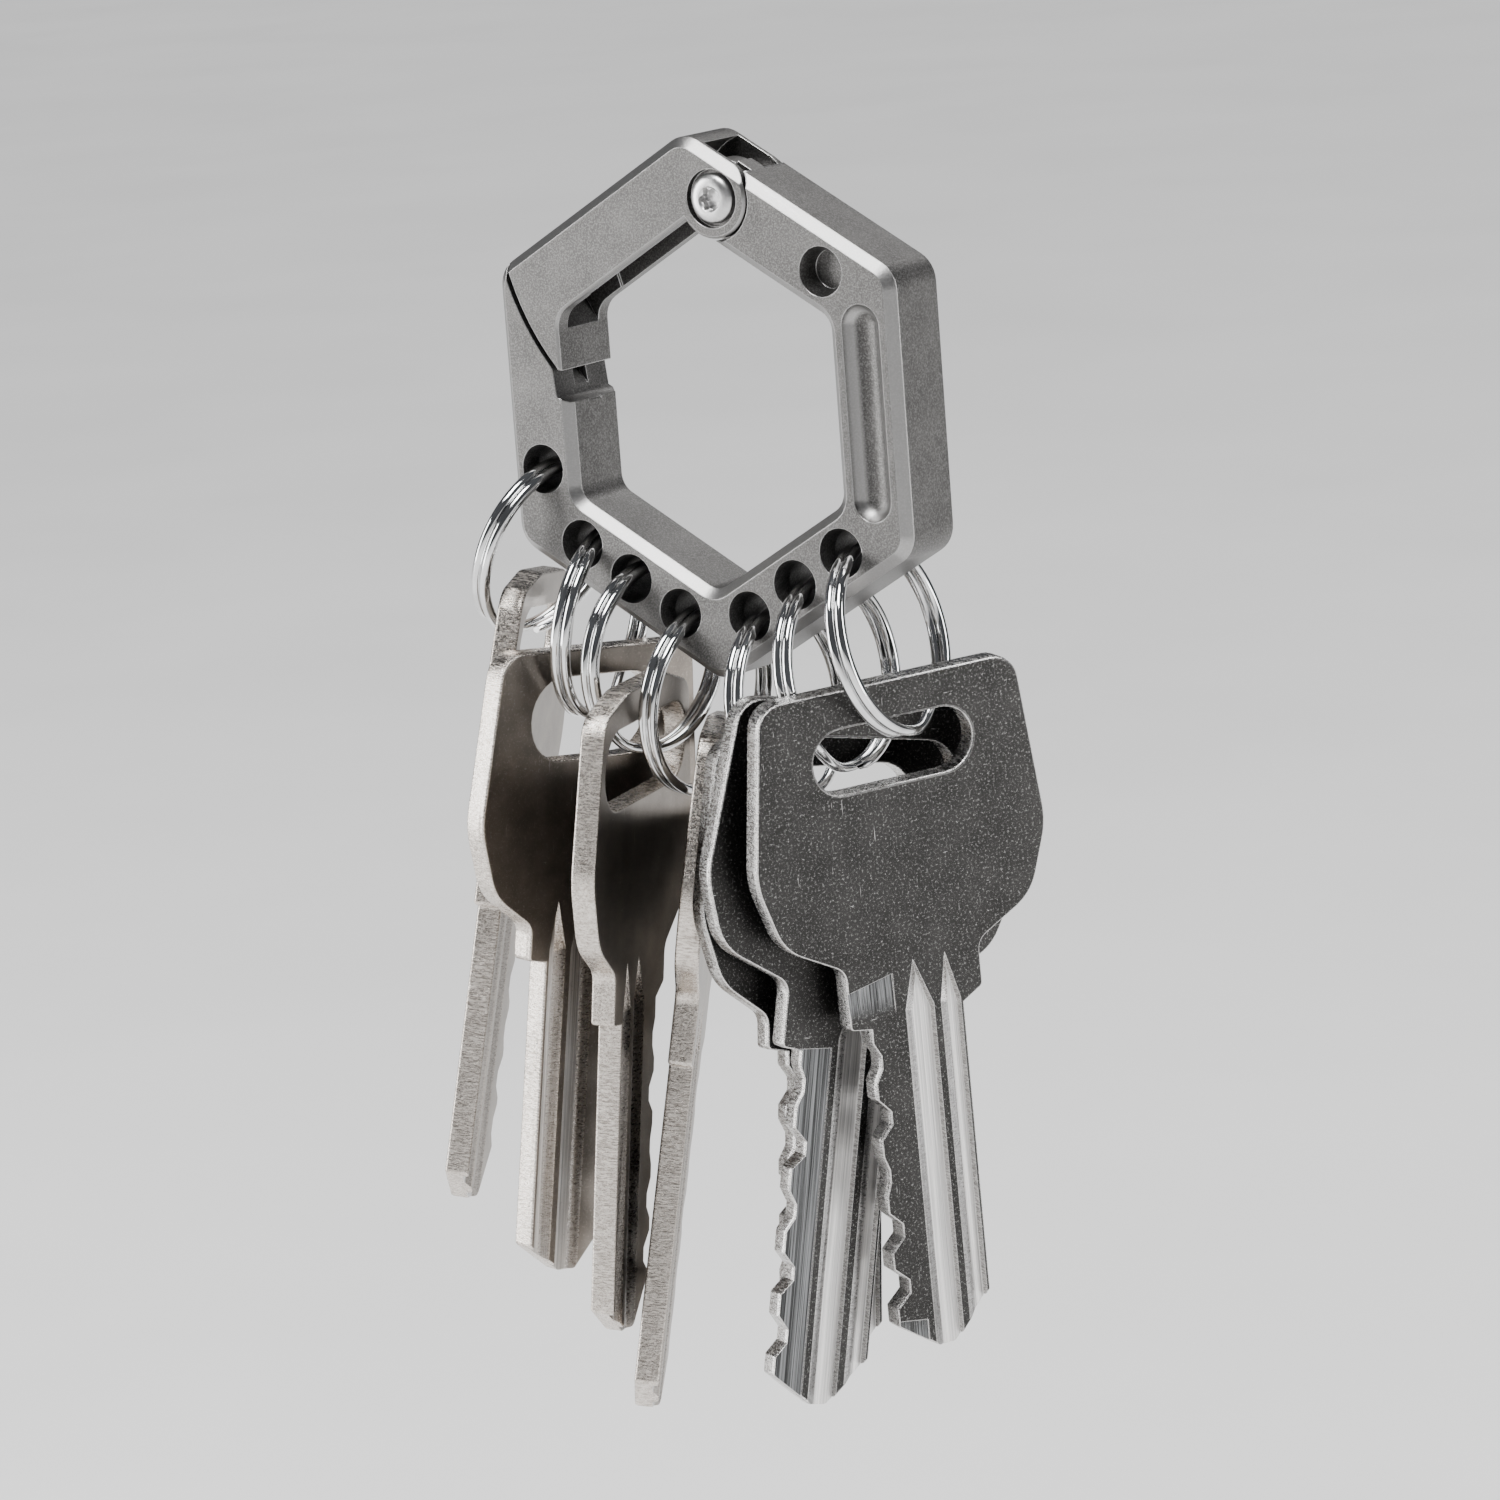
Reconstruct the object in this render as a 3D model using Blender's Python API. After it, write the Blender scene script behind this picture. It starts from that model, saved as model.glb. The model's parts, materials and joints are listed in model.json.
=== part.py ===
"""Hexagonal key organiser with a sprung gate, seven split rings and seven keys.

Metres, +Z up. The hexagon stands point up in the XZ plane and its front faces -Y.
"""

import math

import bmesh
import bpy
from mathutils import Matrix, Vector

MM = 0.001

# ---- driving dimensions, in millimetres ----
OUTER_APOTHEM = 18.5        # centre of the hexagon to its outer flats
INNER_APOTHEM = 12.35       # centre of the hexagon to the flats of its opening
BAND_MIDDLE = (OUTER_APOTHEM + INNER_APOTHEM) / 2
THICK = 6.9
CHAMFER = 0.75
OUTER_ROUND = 2.4
INNER_ROUND = 1.7
GAP = 0.25                  # between pieces that nearly touch

HOLE_PITCH = 5.15
HOLE_R = 1.65
HOLE_MOUTH_R = 1.95
HOLE_CONE = 1.7             # depth of the tapered mouth

PIVOT_OFFSET = 5.9          # from the middle of the upper right arm, towards the top
EAR_R = 3.1
EAR_ARC_R = 3.35            # hollow in the frame round the gate's ears
EAR_INNER = 2.3             # half width of the fork
TONGUE_R = 2.85
TONGUE_FRONT = -1.7
TONGUE_BACK = 0.1
WASHER_R = 2.5
BARREL_R = 1.25
SHANK_R = 0.8
HEAD_R = 2.1
HEAD_SEAT = 2.85            # |y| of the counterbore floors

RING_MEAN_R = 7.35
RING_WIDE = 1.7             # two turns of wire side by side
RING_WIRE = 0.86
RING_STEPS = 40

KEY_THICK = 1.95


def arm_point(angle, along, radius=BAND_MIDDLE):
    """A point (x, z) on the arm whose outward normal is at this angle, moved along the arm."""
    normal = Vector((math.cos(angle), math.sin(angle)))
    tangent = Vector((-math.sin(angle), math.cos(angle)))
    return normal * radius + tangent * along


UPPER_RIGHT = math.radians(60)
UPPER_LEFT = math.radians(120)
LOWER_LEFT = math.radians(240)
LOWER_RIGHT = math.radians(300)
PIVOT = arm_point(UPPER_RIGHT, PIVOT_OFFSET)
RING_HOLES = [
    Vector((-BAND_MIDDLE, -4.9)),
    arm_point(LOWER_LEFT, -HOLE_PITCH),
    arm_point(LOWER_LEFT, 0.0),
    arm_point(LOWER_LEFT, HOLE_PITCH),
    arm_point(LOWER_RIGHT, -HOLE_PITCH),
    arm_point(LOWER_RIGHT, 0.0),
    arm_point(LOWER_RIGHT, HOLE_PITCH),
]


# ---- outlines ----

def line_meet(point_a, dir_a, point_b, dir_b):
    """Where two lines in the plane cross."""
    cross = dir_a.x * dir_b.y - dir_a.y * dir_b.x
    offset = point_b - point_a
    return point_a + dir_a * ((offset.x * dir_b.y - offset.y * dir_b.x) / cross)


def arc(centre, radius, start, end, steps):
    """Points on an arc, both ends included, angles in degrees."""
    points = []
    for step in range(steps + 1):
        angle = math.radians(start + (end - start) * step / steps)
        points.append(centre + Vector((math.cos(angle), math.sin(angle))) * radius)
    return points


def rounded(corners, radii, steps=5):
    """A closed outline whose corners are replaced by arcs of the given radii."""
    points = []
    count = len(corners)
    for index, corner in enumerate(corners):
        corner = Vector(corner)
        radius = radii[index] if isinstance(radii, (list, tuple)) else radii
        if radius <= 0:
            points.append(corner)
            continue
        before = (Vector(corners[index - 1]) - corner).normalized()
        after = (Vector(corners[(index + 1) % count]) - corner).normalized()
        half = before.angle(after) / 2
        middle = (before + after).normalized()
        centre = corner + middle * (radius / math.sin(half))
        first = corner + before * (radius / math.tan(half)) - centre
        last = corner + after * (radius / math.tan(half)) - centre
        turn = first.angle_signed(last)
        for step in range(steps + 1):
            angle = -turn * step / steps
            spin = Matrix.Rotation(angle, 2)
            points.append(centre + spin @ first)
    return points


def signed_area(points):
    total = 0.0
    for index, point in enumerate(points):
        following = points[(index + 1) % len(points)]
        total += point.x * following.y - following.x * point.y
    return total / 2


def inset(points, amounts):
    """The outline moved inwards, each side by its own amount."""
    count = len(points)
    side = 1.0 if signed_area(points) > 0 else -1.0
    moved = []
    for index, point in enumerate(points):
        back = (point - points[index - 1]).normalized()
        ahead = (points[(index + 1) % count] - point).normalized()
        amount_back = amounts[index - 1]
        amount_ahead = amounts[index]
        normal_back = Vector((-back.y, back.x)) * side
        normal_ahead = Vector((-ahead.y, ahead.x)) * side
        if abs(back.x * ahead.y - back.y * ahead.x) < 0.02:
            shift = (normal_back + normal_ahead).normalized()
            moved.append(point + shift * (amount_back + amount_ahead) / 2)
        else:
            moved.append(line_meet(point + normal_back * amount_back, back,
                                   point + normal_ahead * amount_ahead, ahead))
    return moved


def hexagon(apothem):
    radius = apothem / math.cos(math.radians(30))
    return [Vector((math.cos(math.radians(90 + 60 * k)), math.sin(math.radians(90 + 60 * k)))) * radius
            for k in range(6)]


def obround(centre, half_length, radius, tilt=0.0, steps=8):
    """A slot outline with round ends; half_length reaches the far end of the round."""
    run = half_length - radius
    along = Vector((math.cos(tilt), math.sin(tilt)))
    turn = math.degrees(tilt)
    right = arc(centre + along * run, radius, turn - 90, turn + 90, steps)
    left = arc(centre - along * run, radius, turn + 90, turn + 270, steps)
    return right + left


# ---- solids ----

def material(name, colour, metallic, roughness):
    made = bpy.data.materials.get(name)
    if made is None:
        made = bpy.data.materials.new(name)
        made.use_nodes = True
        shader = made.node_tree.nodes["Principled BSDF"]
        shader.inputs["Base Color"].default_value = (*colour, 1.0)
        shader.inputs["Metallic"].default_value = metallic
        shader.inputs["Roughness"].default_value = roughness
    return made


def titanium():
    return material("blasted_titanium", (0.55, 0.55, 0.55), 1.0, 0.45)


def stainless():
    return material("satin_stainless", (0.72, 0.71, 0.69), 1.0, 0.25)


def ring_wire():
    return material("bright_ring_wire", (0.80, 0.80, 0.81), 1.0, 0.12)


def key_metal():
    return material("nickel_key", (0.62, 0.60, 0.57), 1.0, 0.32)


def object_from(name, bm, look=None, smooth=False):
    bmesh.ops.recalc_face_normals(bm, faces=bm.faces)
    mesh = bpy.data.meshes.new(name)
    bm.to_mesh(mesh)
    bm.free()
    if smooth:
        mesh.shade_smooth()
        mesh.set_sharp_from_angle(angle=math.radians(35))
    made = bpy.data.objects.new(name, mesh)
    bpy.context.scene.collection.objects.link(made)
    if look is not None:
        mesh.materials.append(look)
    return made


def skin(bm, loops, closed=False):
    """Joins loops of equal length with quads, and caps the ends unless the run is closed."""
    rows = [[bm.verts.new(Vector(p) * MM) for p in loop] for loop in loops]
    pairs = list(zip(rows, rows[1:]))
    if closed:
        pairs.append((rows[-1], rows[0]))
    for low, high in pairs:
        for index in range(len(low)):
            nxt = (index + 1) % len(low)
            bm.faces.new((low[index], low[nxt], high[nxt], high[index]))
    if not closed:
        bm.faces.new(rows[0])
        bm.faces.new(rows[-1])


def raised(outline, y):
    return [(p.x, y, p.y) for p in outline]


def prism(name, outline, low, high, look=None, bevels=None):
    """An outline in XZ drawn out along Y; bevels gives each side's chamfer at both faces."""
    bm = bmesh.new()
    if bevels is None:
        loops = [raised(outline, low), raised(outline, high)]
    else:
        depth = max(bevels)
        small = inset(outline, bevels)
        loops = [raised(small, low), raised(outline, low + depth),
                 raised(outline, high - depth), raised(small, high)]
    skin(bm, loops)
    return object_from(name, bm, look)


def turned(name, centre, profile, look=None, steps=32, smooth=True):
    """A round solid about a Y axis through centre (x, z); profile lists (radius, y) pairs."""
    bm = bmesh.new()
    loops = []
    for radius, y in profile:
        loops.append([(p.x, y, p.y) for p in arc(centre, radius, 0, 360 - 360 / steps, steps - 1)])
    skin(bm, loops)
    return object_from(name, bm, look, smooth)


def cut(target, *cutters):
    combine(target, "DIFFERENCE", cutters)


def join(target, *others):
    combine(target, "UNION", others)


def combine(target, operation, others):
    """Bakes the cut or union into the target's mesh and removes the tools."""
    for other in others:
        change = target.modifiers.new(operation.lower(), "BOOLEAN")
        change.operation = operation
        change.solver = "EXACT"
        change.object = other
    graph = bpy.context.evaluated_depsgraph_get()
    result = bpy.data.meshes.new_from_object(target.evaluated_get(graph))
    target.modifiers.clear()
    old = target.data
    target.data = result
    bpy.data.meshes.remove(old)
    for other in others:
        bpy.data.objects.remove(other, do_unlink=True)


def finish(made, origin=None):
    """Merges stray points, shades the mesh and moves its origin (mm) without moving the shape."""
    bm = bmesh.new()
    bm.from_mesh(made.data)
    bmesh.ops.remove_doubles(bm, verts=bm.verts, dist=0.004 * MM)
    bmesh.ops.dissolve_degenerate(bm, edges=bm.edges, dist=0.002 * MM)
    bmesh.ops.triangulate(bm, faces=[f for f in bm.faces if len(f.verts) > 4])
    if origin is not None:
        shift = Vector(origin) * MM
        bmesh.ops.translate(bm, verts=bm.verts, vec=-shift)
        made.location = shift
    bm.to_mesh(made.data)
    bm.free()
    made.data.shade_smooth()
    made.data.set_sharp_from_angle(angle=math.radians(30))
    return made


# ---- the frame and its gate ----

# The gate meets the left arm on an arc about the pivot, so it swings clear without rubbing.
CONTACT_R = 20.95
NOSE_BOTTOM = 2.85
NOSE_INNER = -12.95
GATE_INNER = 12.75
HALF = THICK / 2


def seam_point(radius, height):
    """The point at this height on the left side of a circle about the pivot."""
    drop = PIVOT.y - height
    return Vector((PIVOT.x - math.sqrt(radius ** 2 - drop ** 2), height))


def seam(radius, top, bottom, steps=8):
    """Points down the left of a circle about the pivot, between two heights."""
    return [seam_point(radius, top + (bottom - top) * k / steps) for k in range(steps + 1)]


def rim_blank(name, reach):
    """The rounded hexagon with its rim chamfers carried on past both faces."""
    rim = rounded(hexagon(OUTER_APOTHEM), OUTER_ROUND, 6)
    small = inset(rim, [CHAMFER + reach] * len(rim))
    bm = bmesh.new()
    skin(bm, [raised(small, -HALF - reach), raised(rim, -HALF + CHAMFER),
              raised(rim, HALF - CHAMFER), raised(small, HALF + reach)])
    return object_from(name, bm)


def gate_outline(extra):
    """The gate seen from the front: arm, pivot ear and hooked nose, oversize past the rim."""
    along = Vector((math.cos(math.radians(30)), math.sin(math.radians(30))))
    inner = arm_point(UPPER_LEFT, 0, GATE_INNER)
    end = seam(CONTACT_R - GAP / 2, 12.6, NOSE_BOTTOM)
    nose_right = Vector((NOSE_INNER, NOSE_BOTTOM))
    inner_left = line_meet(inner, along, nose_right, Vector((0, 1)))
    ear = arc(PIVOT, EAR_R, 210, 420, 22)
    ear_side = ear[-1] + arm_point(UPPER_RIGHT, 0, 1.0) * extra
    top = hexagon(OUTER_APOTHEM + extra)[0]
    corners = end + [nose_right, inner_left] + ear + [ear_side, top]
    radii = [0] * len(end) + [0, 2.0] + [0] * (len(ear) + 2)
    return rounded(corners, radii)


def make_gate():
    outline = gate_outline(1.0)
    gate = prism("gate", outline, -HALF, HALF, titanium(), [0.2] * len(outline))
    combine(gate, "INTERSECT", [rim_blank("rim", 0.5)])
    along = Vector((math.cos(math.radians(30)), math.sin(math.radians(30))))
    out = arm_point(UPPER_LEFT, 0, 1.0)
    base = arm_point(UPPER_LEFT, 0, 0.0)
    left, step = -8.2, -5.7
    channel = rounded([base + out * 10 + along * left, base + out * 10 + along * 16,
                       base + out * 16.9 + along * 16, base + out * 16.9 + along * left],
                      [0, 0, 0, 1.6])
    fork = arc(PIVOT, 4.3, 0, 350, 35)
    wide_slot = [base + out * 9 + along * step, base + out * 9 + along * 14,
                 base + out * 16.95 + along * 14, base + out * 16.95 + along * (step + 2)]
    cut(gate,
        turned("seat_front", PIVOT, [(2.28, -HALF - 1), (2.28, -HEAD_SEAT)], steps=28),
        turned("seat_back", PIVOT, [(2.28, HEAD_SEAT), (2.28, HALF + 1)], steps=28),
        turned("pin_hole", PIVOT, [(BARREL_R + 0.06, -HALF - 2), (BARREL_R + 0.06, HALF + 2)], steps=28))
    cut(gate, prism("fork", fork, -EAR_INNER, EAR_INNER))
    cut(gate, prism("channel", channel, -2.05, 2.05))
    cut(gate, prism("wide", wide_slot, -EAR_INNER, EAR_INNER))
    rib = seam(CONTACT_R - 0.9, 8.6, 4.2) + seam(CONTACT_R + 0.45, 4.6, 8.2)
    join(gate, prism("rib", rib, -0.55, 0.55))
    return finish(gate, (PIVOT.x, 0, PIVOT.y))


def make_frame():
    blank = rounded(hexagon(OUTER_APOTHEM), OUTER_ROUND, 6)
    frame = prism("frame_body", blank, -HALF, HALF, titanium(), [CHAMFER] * len(blank))
    hollow = rounded(hexagon(INNER_APOTHEM), INNER_ROUND, 6)
    flared = inset(hollow, [-CHAMFER] * len(hollow))
    bm = bmesh.new()
    skin(bm, [raised(flared, -HALF - 1), raised(flared, -HALF), raised(hollow, -HALF + CHAMFER),
              raised(hollow, HALF - CHAMFER), raised(flared, HALF), raised(flared, HALF + 1)])
    opening = object_from("opening", bm)
    along = Vector((-math.sin(UPPER_RIGHT), math.cos(UPPER_RIGHT)))
    out = arm_point(UPPER_RIGHT, 0, 1.0)
    seat = seam(CONTACT_R + GAP / 2, 3.0, 13.5)
    gate_zone = [PIVOT + out * 9, PIVOT - out * 8, Vector((-9, 0.1)), Vector((-12.64, 0.35)),
                 Vector((-13.5, 0.8))] + seat + [PIVOT + out * 9 + along * 18]
    cut(frame, opening,
        prism("gate_zone", gate_zone, -HALF - 2, HALF + 2),
        turned("arc_front", PIVOT, [(EAR_ARC_R, -HALF - 1), (EAR_ARC_R, TONGUE_FRONT)], steps=40),
        turned("arc_back", PIVOT, [(EAR_ARC_R, TONGUE_BACK), (EAR_ARC_R, HALF + 1)], steps=40))
    join(frame, turned("tongue", PIVOT, [(TONGUE_R, TONGUE_FRONT), (TONGUE_R, TONGUE_BACK)], steps=40))
    groove = seam(CONTACT_R + 1.1, 9.4, 0.0) + seam(CONTACT_R - 2, 0.0, 9.4)
    cutters = [prism("groove", groove, -0.85, 0.85),
               turned("pin_hole", PIVOT, [(BARREL_R + 0.06, -HALF), (BARREL_R + 0.06, HALF)], steps=28)]
    for index, hole in enumerate(RING_HOLES):
        cutters.append(turned(f"hole_{index}", hole, [
            (HOLE_MOUTH_R, -HALF - 1), (HOLE_MOUTH_R, -HALF), (HOLE_R, -HALF + HOLE_CONE),
            (HOLE_R, HALF - HOLE_CONE), (HOLE_MOUTH_R, HALF), (HOLE_MOUTH_R, HALF + 1)], steps=24))
    pocket = arm_point(UPPER_RIGHT, -HOLE_PITCH)
    sides = [(HOLE_MOUTH_R, -HALF - 1), (HOLE_MOUTH_R, -HALF), (1.55, -HALF + 0.9), (1.55, -HALF + 1.7)]
    cutters.append(turned("round_pocket", pocket, sides, steps=24))
    cutters.append(scoop_cutter())
    cut(frame, *cutters)
    return finish(frame)


def scoop_cutter():
    """A round-ended bar that hollows the long scoop in the right arm."""
    bar_r, depth, reach = 1.86, 1.1, 8.35
    half_width = math.sqrt(bar_r ** 2 - (bar_r - depth) ** 2)
    centre_y = -HALF - (bar_r - depth)
    straight = reach - half_width
    sides, rings = 28, 6
    loops = []
    for step in range(rings + 1):
        angle = math.radians(-88 + 88 * step / rings)
        loops.append((-straight + bar_r * math.sin(angle), bar_r * math.cos(angle)))
    loops += [(-z, r) for z, r in reversed(loops)]
    bm = bmesh.new()
    turns = [2 * math.pi * k / sides for k in range(sides)]
    skin(bm, [[(BAND_MIDDLE + r * math.cos(a), centre_y + r * math.sin(a), z) for a in turns]
              for z, r in loops])
    return object_from("scoop", bm)


# ---- the pivot ----

def make_pivot():
    screw = turned("pivot_screw", PIVOT, [
        (0.95, -HEAD_SEAT - 0.25), (1.05, -HEAD_SEAT - 0.9), (HEAD_R - 0.8, -HEAD_SEAT - 0.88),
        (HEAD_R - 0.25, -HEAD_SEAT - 0.72), (HEAD_R, -HEAD_SEAT - 0.45), (HEAD_R, -HEAD_SEAT - 0.03),
        (SHANK_R, -HEAD_SEAT - 0.03), (SHANK_R, 1.3)], stainless())
    finish(screw, (PIVOT.x, 0, PIVOT.y))
    barrel = turned("pivot_barrel", PIVOT, [
        (HEAD_R, HALF + 0.05), (HEAD_R, HEAD_SEAT + 0.03), (BARREL_R, HEAD_SEAT + 0.03), (BARREL_R, -2.6),
        (SHANK_R + 0.08, -2.6), (SHANK_R + 0.08, 1.9)], stainless())
    socket = [PIVOT + Vector((math.cos(math.radians(60 * k)), math.sin(math.radians(60 * k)))) * 1.1
              for k in range(6)]
    cut(barrel, prism("socket", socket, HALF - 0.75, HALF + 1))
    finish(barrel, (PIVOT.x, 0, PIVOT.y))
    for name, front, back in (("washer_front", -2.2, -1.8), ("washer_rear", 0.2, 0.6)):
        washer = turned(name, PIVOT, [(WASHER_R, front), (WASHER_R, back)], stainless())
        bore = [(BARREL_R + 0.06, front - 1), (BARREL_R + 0.06, back + 1)]
        cut(washer, turned("bore", PIVOT, bore, steps=28))
        finish(washer)


def tube(name, points, radius, look, sides=8):
    """A round wire along points, in millimetres, with flat ends."""
    bm = bmesh.new()
    loops = []
    side = None
    for index, point in enumerate(points):
        ahead = points[min(index + 1, len(points) - 1)] - points[max(index - 1, 0)]
        ahead.normalize()
        side = (side or ahead.orthogonal()) - ahead * (side or ahead.orthogonal()).dot(ahead)
        side.normalize()
        up = ahead.cross(side)
        loops.append([point + (side * math.cos(a) + up * math.sin(a)) * radius
                      for a in (2 * math.pi * k / sides for k in range(sides))])
    skin(bm, loops)
    return object_from(name, bm, look, smooth=True)


def make_spring():
    """Three turns round the barrel, one leg along the gate's channel, one to the frame's hollow."""
    coil_r, wire_r, turns, low, high = 1.85, 0.22, 2.6, 0.95, 2.0
    steps = 44
    points = []
    start = math.radians(120)
    sweep = turns * 2 * math.pi
    for step in range(steps + 1):
        angle = start + sweep * step / steps
        y = low + (high - low) * step / steps
        points.append(Vector((PIVOT.x + coil_r * math.cos(angle), y, PIVOT.y + coil_r * math.sin(angle))))
    lead_in = Vector((math.sin(start), 0, -math.cos(start)))
    end = start + sweep
    lead_out = Vector((-math.sin(end), 0, math.cos(end)))
    first = [points[0] + lead_in * 1.4, points[0] + lead_in * 0.6]
    last = [points[-1] + lead_out * 0.8, points[-1] + lead_out * 1.7]
    return tube("gate_spring", first + points + last, wire_r, stainless())


# ---- the rings ----

# For each hole from the left arm round to the right: turn about Z, lean, swing towards the back
# (degrees) and how far the wire's middle sits from the hole's middle (x, z in mm).
RING_LAYOUT = [
    (6.3, -22.4, -2.5, 0.03, 0.08),
    (-10.2, -10.2, 0.5, 0.13, 0.51),
    (7.2, -4.4, -4.8, 0.11, 0.65),
    (3.4, -7.4, 1.8, 0.15, -0.10),
    (-0.7, 5.6, 0.0, -0.07, -0.06),
    (-1.4, 8.6, -2.4, 0.09, -0.04),
    (-4.4, 13.0, -5.9, 0.22, 0.22),
]


def ring_axes(yaw, lean):
    """The ring's axis, its sideways direction and its steepest way down."""
    turn, tilt = math.radians(yaw), math.radians(lean)
    axis = Vector((math.cos(turn) * math.cos(tilt), -math.sin(turn) * math.cos(tilt), math.sin(tilt)))
    back = Vector((0, 0, 1)).cross(axis).normalized()
    down = axis.cross(back)
    if down.z > 0:
        down = -down
    return axis, back, down


def ring_centre(hole, layout):
    yaw, lean, sway, off_x, off_z = layout
    axis, back, down = ring_axes(yaw, lean)
    swing = math.radians(sway)
    reach = down * math.cos(swing) + back * math.sin(swing)
    return Vector((hole.x + off_x, 0, hole.y + off_z)) + reach * RING_MEAN_R


def make_ring(number, hole, layout):
    """A closed hoop with the outside size of two flattened turns of wire."""
    axis, back, down = ring_axes(layout[0], layout[1])
    centre = ring_centre(hole, layout)
    half_wide, half_wire, round_off = RING_WIDE / 2, RING_WIRE / 2, 0.22
    section = [(half_wide, half_wire - round_off), (half_wide - round_off, half_wire),
               (round_off - half_wide, half_wire), (-half_wide, half_wire - round_off),
               (-half_wide, round_off - half_wire), (round_off - half_wide, -half_wire),
               (half_wide - round_off, -half_wire), (half_wide, round_off - half_wire)]
    loops = []
    for step in range(RING_STEPS):
        angle = 2 * math.pi * step / RING_STEPS
        radial = back * math.sin(angle) + down * math.cos(angle)
        loops.append([centre + radial * (RING_MEAN_R + r) + axis * a for a, r in section])
    bm = bmesh.new()
    skin(bm, loops, closed=True)
    ring = object_from(f"ring_{number}", bm, ring_wire())
    finish(ring, centre)


# ---- the keys ----

class KeyShape:
    """One key's outline, in mm from the middle of its slot: x across the bow, y towards the tip."""

    def __init__(self, half_bow, bow_top, slot_half, slot_r, shoulder, tip, bites, bite_side, crown=0.0):
        self.crown = crown
        self.half_bow = half_bow
        self.bow_top = bow_top
        self.slot_half = slot_half
        self.slot_r = slot_r
        self.shoulder = shoulder
        self.tip = tip
        self.bites = bites
        self.bite_side = bite_side


HALF_BLADE = 4.15
HALF_NECK = 5.9
GROOVE_DEPTH = 0.5
KEY_SHAPES = [
    KeyShape(12.1, -5.8, 9.3, 3.05, 21.0, 45.2, (0.4, 0.9, 0.6, 1.2, 0.8), 1, 1.5),
    KeyShape(11.8, -5.5, 6.9, 3.30, 19.2, 45.0, (0.8, 0.4, 1.1, 0.6, 0.9), 1),
    KeyShape(11.5, -5.9, 9.3, 3.15, 20.5, 46.5, (0.5, 1.0, 0.4, 0.8, 1.2), 1, 1.5),
    KeyShape(12.9, -5.6, 7.9, 2.70, 22.0, 49.8, (1.0, 0.5, 1.2, 0.7, 0.4), 1, 1.5),
    KeyShape(11.6, -5.4, 7.1, 2.80, 19.0, 44.8, (0.8, 0.6, 1.1, 0.4, 1.0), -1),
    KeyShape(13.7, -5.6, 7.3, 2.70, 21.4, 49.6, (0.5, 1.1, 0.7, 1.0, 0.9), -1),
    KeyShape(12.7, -5.6, 6.9, 2.55, 21.2, 48.1, (0.6, 1.0, 0.4, 1.1, 1.2), -1),
]

# Middle of each slot on the key's front face (mm), then turn about Z, tip and roll (degrees).
KEY_LAYOUT = [
    (-21.84, 3.47, -20.19, 113.6, 10.25, 7.8),
    (-13.47, -1.59, -24.82, 79.2, 4.6, 6.0),
    (-6.87, -4.40, -27.17, 105.95, 6.0, 1.1),
    (-6.28, 5.30, -31.44, 119.9, 9.9, 8.8),
    (6.50, 1.30, -31.30, 62.9, -3.1, 5.9),
    (11.40, 0.00, -28.60, 62.6, 0.4, 10.1),
    (15.24, -2.72, -26.07, 61.9, 3.0, -2.9),
]


def blade_bites(shape):
    """The cuts down the biting edge, as (x, y) corners from shoulder to tip."""
    first = shape.shoulder + 3.0
    pitch = (shape.tip - 5.5 - first) / (len(shape.bites) - 1)
    corners = []
    for index, depth in enumerate(shape.bites):
        middle = first + pitch * index
        for drop, along in ((0, -1.6), (depth, -0.5), (depth, 0.5), (0, 1.6)):
            corners.append((HALF_BLADE - drop, middle + along))
    return corners


def key_outline(shape):
    """Bow, neck, shoulder and blade with shallow bites along one edge."""
    bow, top, stop, tip = shape.half_bow, shape.bow_top, shape.shoulder, shape.tip
    bites = blade_bites(shape)
    right = bites if shape.bite_side > 0 else []
    left = [(-x, y) for x, y in reversed(bites)] if shape.bite_side < 0 else []
    low = top + shape.crown
    corners = [(-bow + 1.6, low), (-4.5, top), (4.5, top), (bow - 1.6, low)]
    radii = [2.2, 5.0 if shape.crown else 0.0, 5.0 if shape.crown else 0.0, 2.2]
    corners += [(bow, 8.2), (bow - 1.8, 13.7), (HALF_NECK, 16.4)]
    corners += [(HALF_NECK, stop - 1.2), (HALF_BLADE, stop - 0.2)]
    radii += [6.5, 4.2, 1.4, 0.5, 0.3]
    corners += right + [(HALF_BLADE, tip - 3.6), (0.9, tip), (-0.6, tip), (-HALF_BLADE, tip - 2.4)] + left
    radii += [0] * (len(right) + 1) + [0.5, 0.5, 0.4] + [0] * len(left)
    corners += [(-HALF_BLADE, stop + 0.3), (-HALF_NECK, stop), (-HALF_NECK, 16.4)]
    corners += [(-bow + 1.8, 13.7), (-bow, 8.2)]
    radii += [0, 0.4, 1.4, 4.2, 6.5]
    return rounded([Vector(c) for c in corners], radii, 3)


def groove(shape, left, right, start):
    """A milled groove that begins in a point and runs out past the tip."""
    middle = (left + right) / 2
    end = shape.tip + 1
    points = [(middle, start), (left, start + 3.5), (left, end), (right, end), (right, start + 3.5)]
    return [Vector((x, -y)) for x, y in points]


def key_matrix(layout):
    x, y, z, yaw, pitch, roll = layout
    turn = (Matrix.Rotation(math.radians(yaw), 4, "Z") @ Matrix.Rotation(math.radians(pitch), 4, "X")
            @ Matrix.Rotation(math.radians(roll), 4, "Y"))
    return Matrix.Translation(Vector((x, y, z)) * MM) @ turn


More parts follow.
